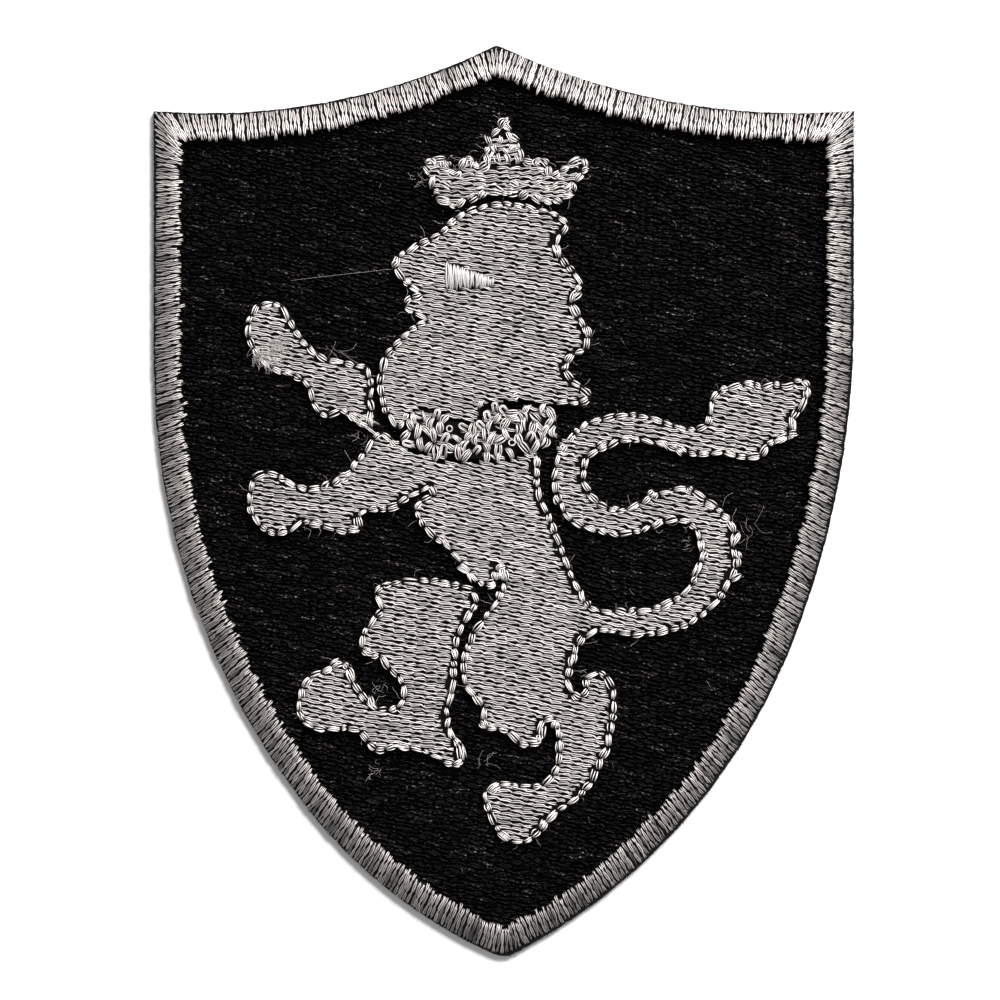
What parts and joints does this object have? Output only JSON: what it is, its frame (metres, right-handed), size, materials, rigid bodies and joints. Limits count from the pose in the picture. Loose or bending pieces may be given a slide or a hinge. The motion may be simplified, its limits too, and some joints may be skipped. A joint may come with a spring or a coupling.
{
  "type": "embroidered patch",
  "caption": "Shield-shaped embroidered patch: black backed cloth, grey satin-stitched border and a crowned lion rampant in grey thread.",
  "frame": {"origin": "on the underside of the cloth, in the middle of the patch's width and height", "axes": "+Z out of the stitched face, +Y to the top of the shield, +X to the right as seen from the front"},
  "size_m": [0.0702, 0.0913, 0.0022],
  "materials": {
    "black_cloth": "matte black thread ground on backed cloth",
    "border_thread": "silky grey satin stitch",
    "figure_thread": "silky grey fill stitch",
    "eye_thread": "silky white satin stitch"
  },
  "bodies": {
    "root": {"ground_cloth": "black_cloth", "satin_border": "border_thread", "crown": "figure_thread", "head": "figure_thread", "eye": "eye_thread", "mane_collar": "figure_thread", "raised_foreleg": "figure_thread", "body": "figure_thread", "near_hind_leg": "figure_thread"}
  },
  "joints": []
}
